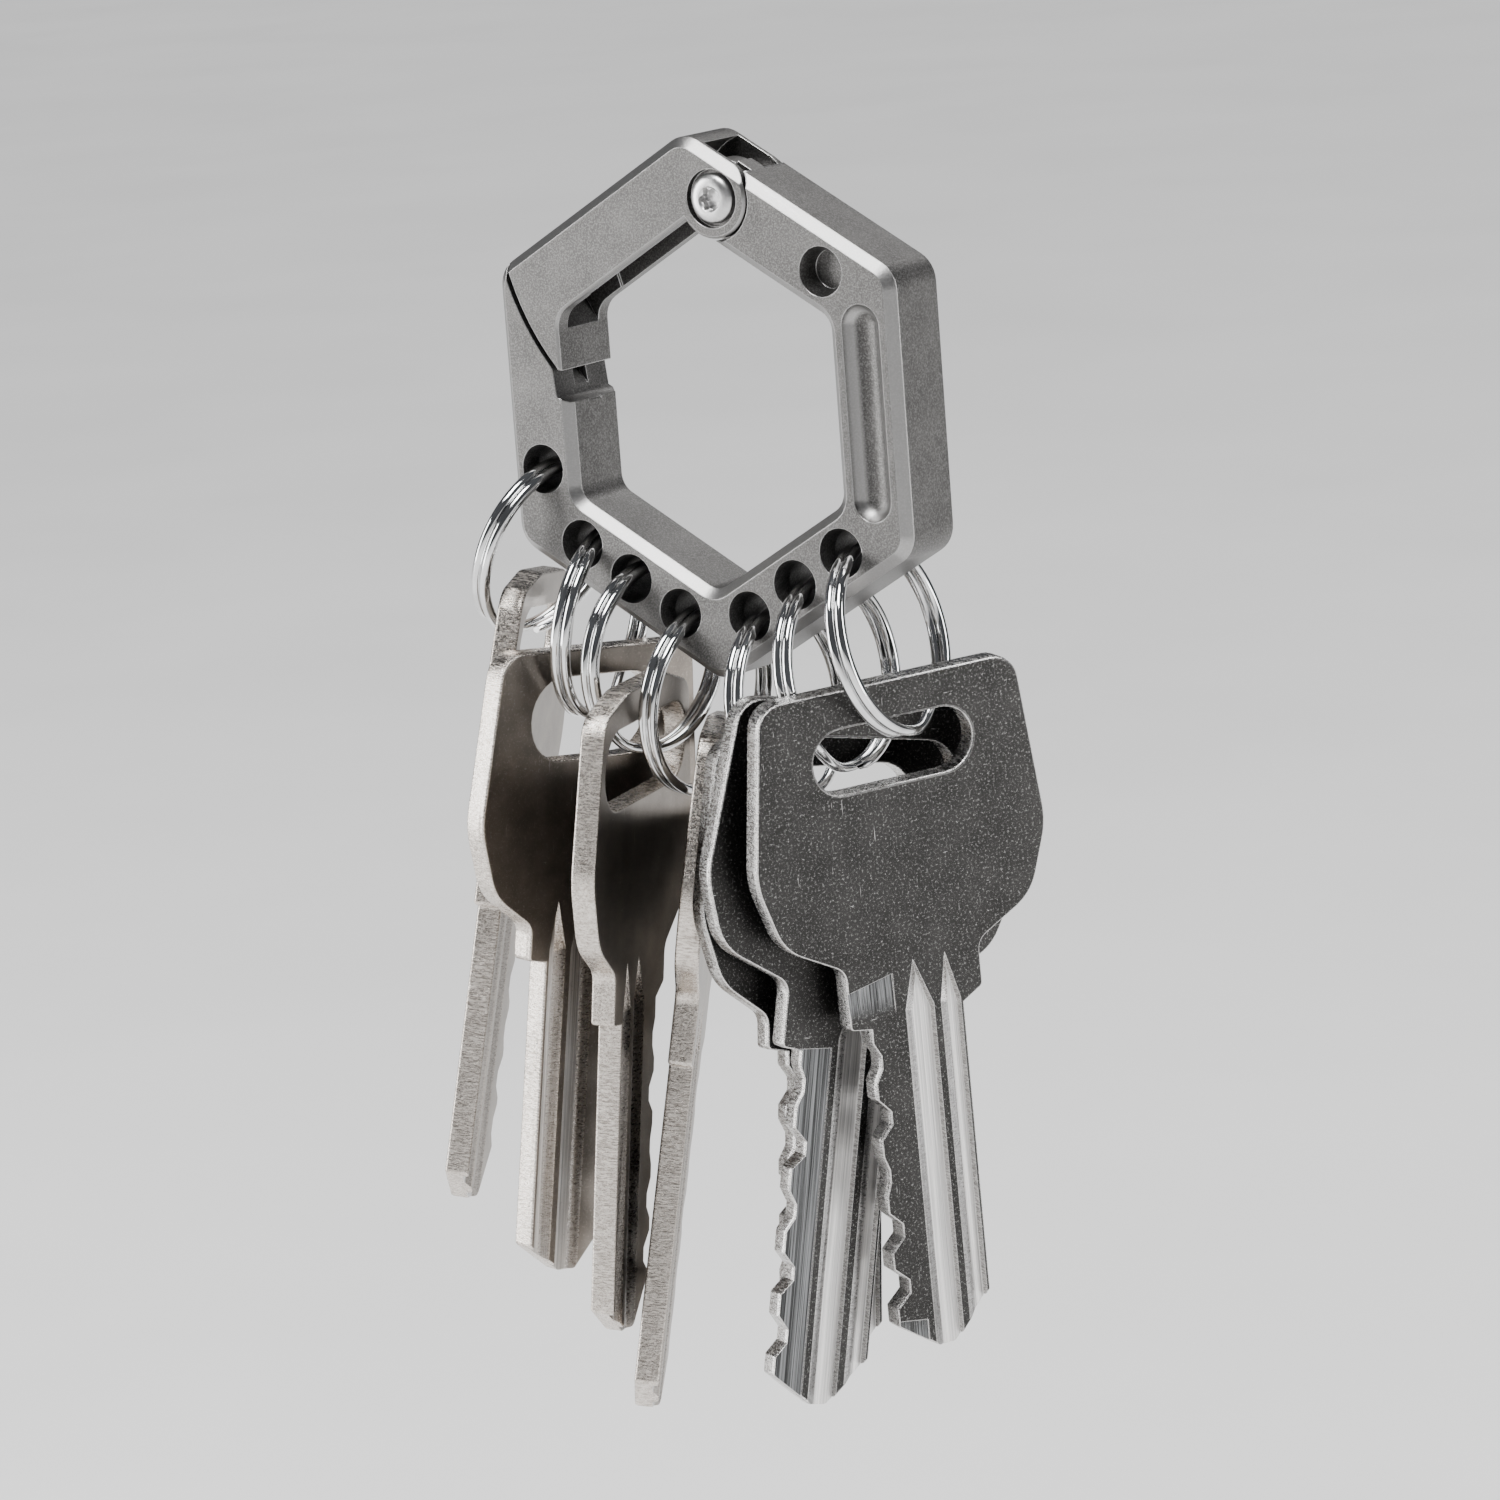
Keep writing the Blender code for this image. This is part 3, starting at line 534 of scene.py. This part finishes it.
def key_cutters(number, shape):
    """The slot with rolled rims, the grooves, and the shallow milling of the two front keys."""
    stop, tip, side = shape.shoulder, shape.tip, shape.side
    run = shape.slot_half - shape.slot_r
    slot = (arc(Vector((run, 0)), shape.slot_r, -90, 90, 14)
            + arc(Vector((-run, 0)), shape.slot_r, 90, 270, 14))
    rim = [(-0.9, -0.7), (-0.2, 0.0), (-0.08, 0.05), (0.0, 0.16)]
    far_rim = [(amount, KEY_THICK - y) for amount, y in reversed(rim)]
    cutters = [plate("slot", slot, rim + far_rim)]
    start, end = stop - 4.6, tip + 1
    slope = 0.85 * -side
    for near, far in FRONT_GROOVES:
        low, high = sorted((-side * near, -side * far))
        cutters.append(groove("front_groove", low, high, start, end, 0.0, GROOVE_DEPTH, slope))
    low, high = sorted(side * reach for reach in BACK_GROOVE)
    cutters.append(groove("back_groove", low, high, start, end, KEY_THICK,
                          KEY_THICK - GROOVE_DEPTH, slope))
    if number == 6:
        cutters.append(shallow_mill(-7, -1.6, stop + 0.1, tip + 1, 0.2, 0.13, 0.13))
    if number == 7:
        cutters.append(shallow_mill(-7, -1.9, stop - 3.3, stop - 0.2, 1.1, 0.16, -0.02))
        cutters.append(shallow_mill(-7, -1.6, tip - 2.9, tip + 1, -0.8, 0.05, 0.2))
    return cutters


def make_key(number, look):
    """One key, built flat with its slot's middle at the origin and then moved to where it hangs."""
    roll = [(0.26, 0.0), (0.15, 0.03), (0.065, 0.11), (0.035, 0.24), (0.035, 0.46), (0.0, 0.52)]
    back = [(0.0, 1.72), (0.05, 1.84), (0.12, 1.915), (0.24, KEY_THICK)]
    shape = KEY_SHAPES[number - 1]
    key = plate(f"key_{number}_looks", key_outline(shape), roll + back, look)
    combine(key, "DIFFERENCE", key_cutters(number, shape))
    flatten_shading(key)
    places = key.data.attributes.new("key_place", "FLOAT_VECTOR", "POINT")
    places.data.foreach_set("vector", [c for vertex in key.data.vertices for c in vertex.co])
    facing = key.data.attributes.new("key_facing", "FLOAT", "FACE")
    facing.data.foreach_set("value", [abs(face.normal.y) for face in key.data.polygons])
    x, y, z, yaw, pitch, roll_angle = KEY_LAYOUT[number - 1]
    key.data.transform(Matrix.Translation(Vector((x, y, z)) * MM)
                        @ Matrix.Rotation(math.radians(yaw), 4, "Z")
                        @ Matrix.Rotation(math.radians(pitch), 4, "X")
                        @ Matrix.Rotation(math.radians(roll_angle), 4, "Y"))
    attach(key, f"key_{number}")
    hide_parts(f"key_{number}")


# ---- split rings ----

def make_ring(number, joint, look, seam_angle):
    """Two flattened turns of wire side by side, with the step where one turn crosses to the other."""
    centre = Vector(joint["pos_m"]) / MM
    axis = Vector(joint["axis"]).normalized()
    back = Vector((0, 0, 1)).cross(axis).normalized()
    down = axis.cross(back)
    half = RING_WIDE / 4
    across = half - TURN_CLEARANCE - WIRE_CURVE
    outward = RING_WIRE / 2 - WIRE_CURVE
    section = []
    for sign_a, sign_r, first in ((1, 1, 0), (-1, 1, 90), (-1, -1, 180), (1, -1, 270)):
        corner = Vector((sign_a * across, sign_r * outward))
        section += arc(corner, WIRE_CURVE, first, first + 90, 4)
    gap, steps = 24, 150
    loops = []
    for step in range(steps + 1):
        turn = gap + (720 - 2 * gap) * step / steps
        cross = min(1.0, max(0.0, (turn - (360 - gap)) / (2 * gap)))
        shift = half * (2 * (3 * cross ** 2 - 2 * cross ** 3) - 1)
        angle = math.radians(turn + seam_angle)
        radial = back * math.sin(angle) + down * math.cos(angle)
        taper = 0.8 if step in (0, steps) else 1.0
        loops.append([centre + radial * (RING_MEAN_R + p.y * taper)
                      + axis * (p.x * taper + shift) for p in section])
    bm = bmesh.new()
    skin(bm, loops)
    ring = object_from(f"ring_{number}_looks", bm, look, 50)
    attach(ring, f"ring_{number}")
    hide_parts(f"ring_{number}")


# ---- pivot ----

def six_lobes(centre, radius, steps=48):
    """A six-lobe outline whose lobes reach the radius."""
    points = []
    for step in range(steps):
        angle = 2 * math.pi * step / steps
        reach = radius * (0.86 + 0.14 * math.cos(6 * angle))
        points.append(centre + Vector((math.cos(angle), math.sin(angle))) * reach)
    return points


def make_screw(pivot, look):
    """A button head with a six-lobe recess on a plain shank."""
    seat, low = -2.88, -3.73
    dome = [(1.92, seat - 0.02), (1.92, seat - 0.34)]
    for step in range(1, 9):
        angle = math.pi / 2 * step / 8
        dome.append((1.15 + 0.77 * math.cos(angle),
                     seat - 0.34 - (seat - 0.34 - low) * math.sin(angle)))
    screw = turned("pivot_screw_looks", pivot, [(0.8, 1.3), (0.8, seat - 0.02)] + dome, look)
    depths = [(0.0, low - 1), (0.0, low + 0.75), (0.08, low + 0.8)]
    recess = plate("recess", six_lobes(pivot, 0.98), depths)
    rim = turned("rim", pivot, [(1.25, low - 0.2), (0.85, low + 0.14)])
    combine(screw, "DIFFERENCE", [recess, rim])
    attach(screw, "gate")
    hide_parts("pivot_screw")


def make_spring(pivot, look):
    """The gate's torsion spring, round wire with smooth legs."""
    coil_r, wire_r, turns, low, high, steps = 1.85, 0.21, 2.6, 0.95, 2.0, 130
    start, sweep = math.radians(120), turns * 2 * math.pi
    points = []
    for step in range(steps + 1):
        angle = start + sweep * step / steps
        y = low + (high - low) * step / steps
        points.append(Vector((pivot.x + coil_r * math.cos(angle), y,
                              pivot.y + coil_r * math.sin(angle))))
    end = start + sweep
    lead_in = Vector((math.sin(start), 0, -math.cos(start)))
    lead_out = Vector((-math.sin(end), 0, math.cos(end)))
    points = ([points[0] + lead_in * reach for reach in (1.4, 1.0, 0.6, 0.25)] + points
              + [points[-1] + lead_out * reach for reach in (0.25, 0.8, 1.3, 1.7)])
    spring = tube("gate_spring_looks", points, wire_r, look)
    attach(spring, "gate")
    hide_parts("gate_spring")


# ---- studio ----

def area_light(name, place, target, size, power):
    data = bpy.data.lights.new(name, "AREA")
    data.shape = "RECTANGLE"
    data.size, data.size_y = size
    data.energy = power
    made = bpy.data.objects.new(name, data)
    made.location = place
    made.rotation_euler = (Vector(target) - Vector(place)).to_track_quat("-Z", "Y").to_euler()
    bpy.context.scene.collection.objects.link(made)


def studio():
    """A pale floor below the hanging keys, a dim world, a wide sun and three softboxes."""
    look = Nodes("pale_floor", metallic=0.0)
    mottle = look.noise(14.0, 4.0, 0.6)
    look.finish(look.mix(mottle, grey(0.74, 0.004), grey(0.78, 0.004)),
                look.ramp(mottle, 0.3, 0.7, 0.55, 0.65))
    bm = bmesh.new()
    bm.faces.new([bm.verts.new((x, y, FLOOR_HEIGHT)) for x, y in ((-6, -6), (6, -6), (6, 6), (-6, 6))])
    floor = object_from("floor", bm, look.material)
    world = bpy.data.worlds.new("studio")
    bpy.context.scene.world = world
    world.use_nodes = True
    background = world.node_tree.nodes["Background"]
    background.inputs["Color"].default_value = (0.9, 0.93, 1.0, 1.0)
    background.inputs["Strength"].default_value = 0.10
    sun = bpy.data.lights.new("overhead", "SUN")
    sun.energy = 3.5
    sun.angle = math.radians(40)
    overhead = bpy.data.objects.new("overhead", sun)
    overhead.rotation_euler = (math.radians(-22), math.radians(8), 0)
    bpy.context.scene.collection.objects.link(overhead)
    area_light("left_softbox", (-0.52, -0.40, 0.06), (0, 0, -0.03), (0.26, 0.55), 5.0)
    area_light("top_softbox", (0.02, -0.34, 0.60), (0, 0, 0), (0.30, 0.28), 6.0)
    area_light("right_strip", (0.62, 0.16, 0.10), (0, 0, -0.03), (0.14, 0.5), 3.2)


def camera():
    """A long lens in front and to the right, solved from the hexagon's corners, rolled 4.33 degrees."""
    data = bpy.data.cameras.new("camera")
    data.lens = 162.1
    data.sensor_width = 36.0
    data.clip_start = 0.01
    data.clip_end = 50.0
    made = bpy.data.objects.new("camera", data)
    place = Vector((299.8, -420.6, 70.5)) * MM
    back = Vector((0.57044, -0.80001, 0.18596)).normalized()
    roll = Matrix.Rotation(math.radians(-4.33), 3, "Z")
    turn = back.to_track_quat("Z", "Y").to_matrix() @ roll
    made.matrix_world = Matrix.Translation(place) @ turn.to_4x4()
    bpy.context.scene.collection.objects.link(made)
    bpy.context.scene.camera = made


def main():
    joints = {joint["name"]: joint for joint in frame["joints"]}
    pivot_place = Vector(joints["gate_hinge"]["pos_m"]) / MM
    pivot = Vector((pivot_place.x, pivot_place.z))
    titanium = blasted_titanium()
    steel = satin_stainless()
    wire = bright_ring_wire()
    for node, body in (("frame_body", "frame"), ("gate", "gate")):
        refined(frame["nodes"][node], node, body, titanium)
    for node, body in (("pivot_barrel", "gate"), ("washer_front", "frame"),
                       ("washer_rear", "frame")):
        refined(frame["nodes"][node], node, body, steel)
    make_screw(pivot, steel)
    make_spring(pivot, steel)
    seams = (200, 150, 215, 160, 140, 205, 170)  # where each ring's step faces, in degrees
    for number, seam in enumerate(seams, start=1):
        make_ring(number, joints[f"ring_{number}_turn"], wire, seam)
    dark = key_metal("key_metal_dark", 0.028, 0.03, 0.30)
    warm = key_metal("key_metal_warm", 0.17, 0.12, 0.27)
    for number, look in enumerate((warm, warm, warm, warm, dark, dark, dark), start=1):
        make_key(number, look)
    camera()
    studio()


main()
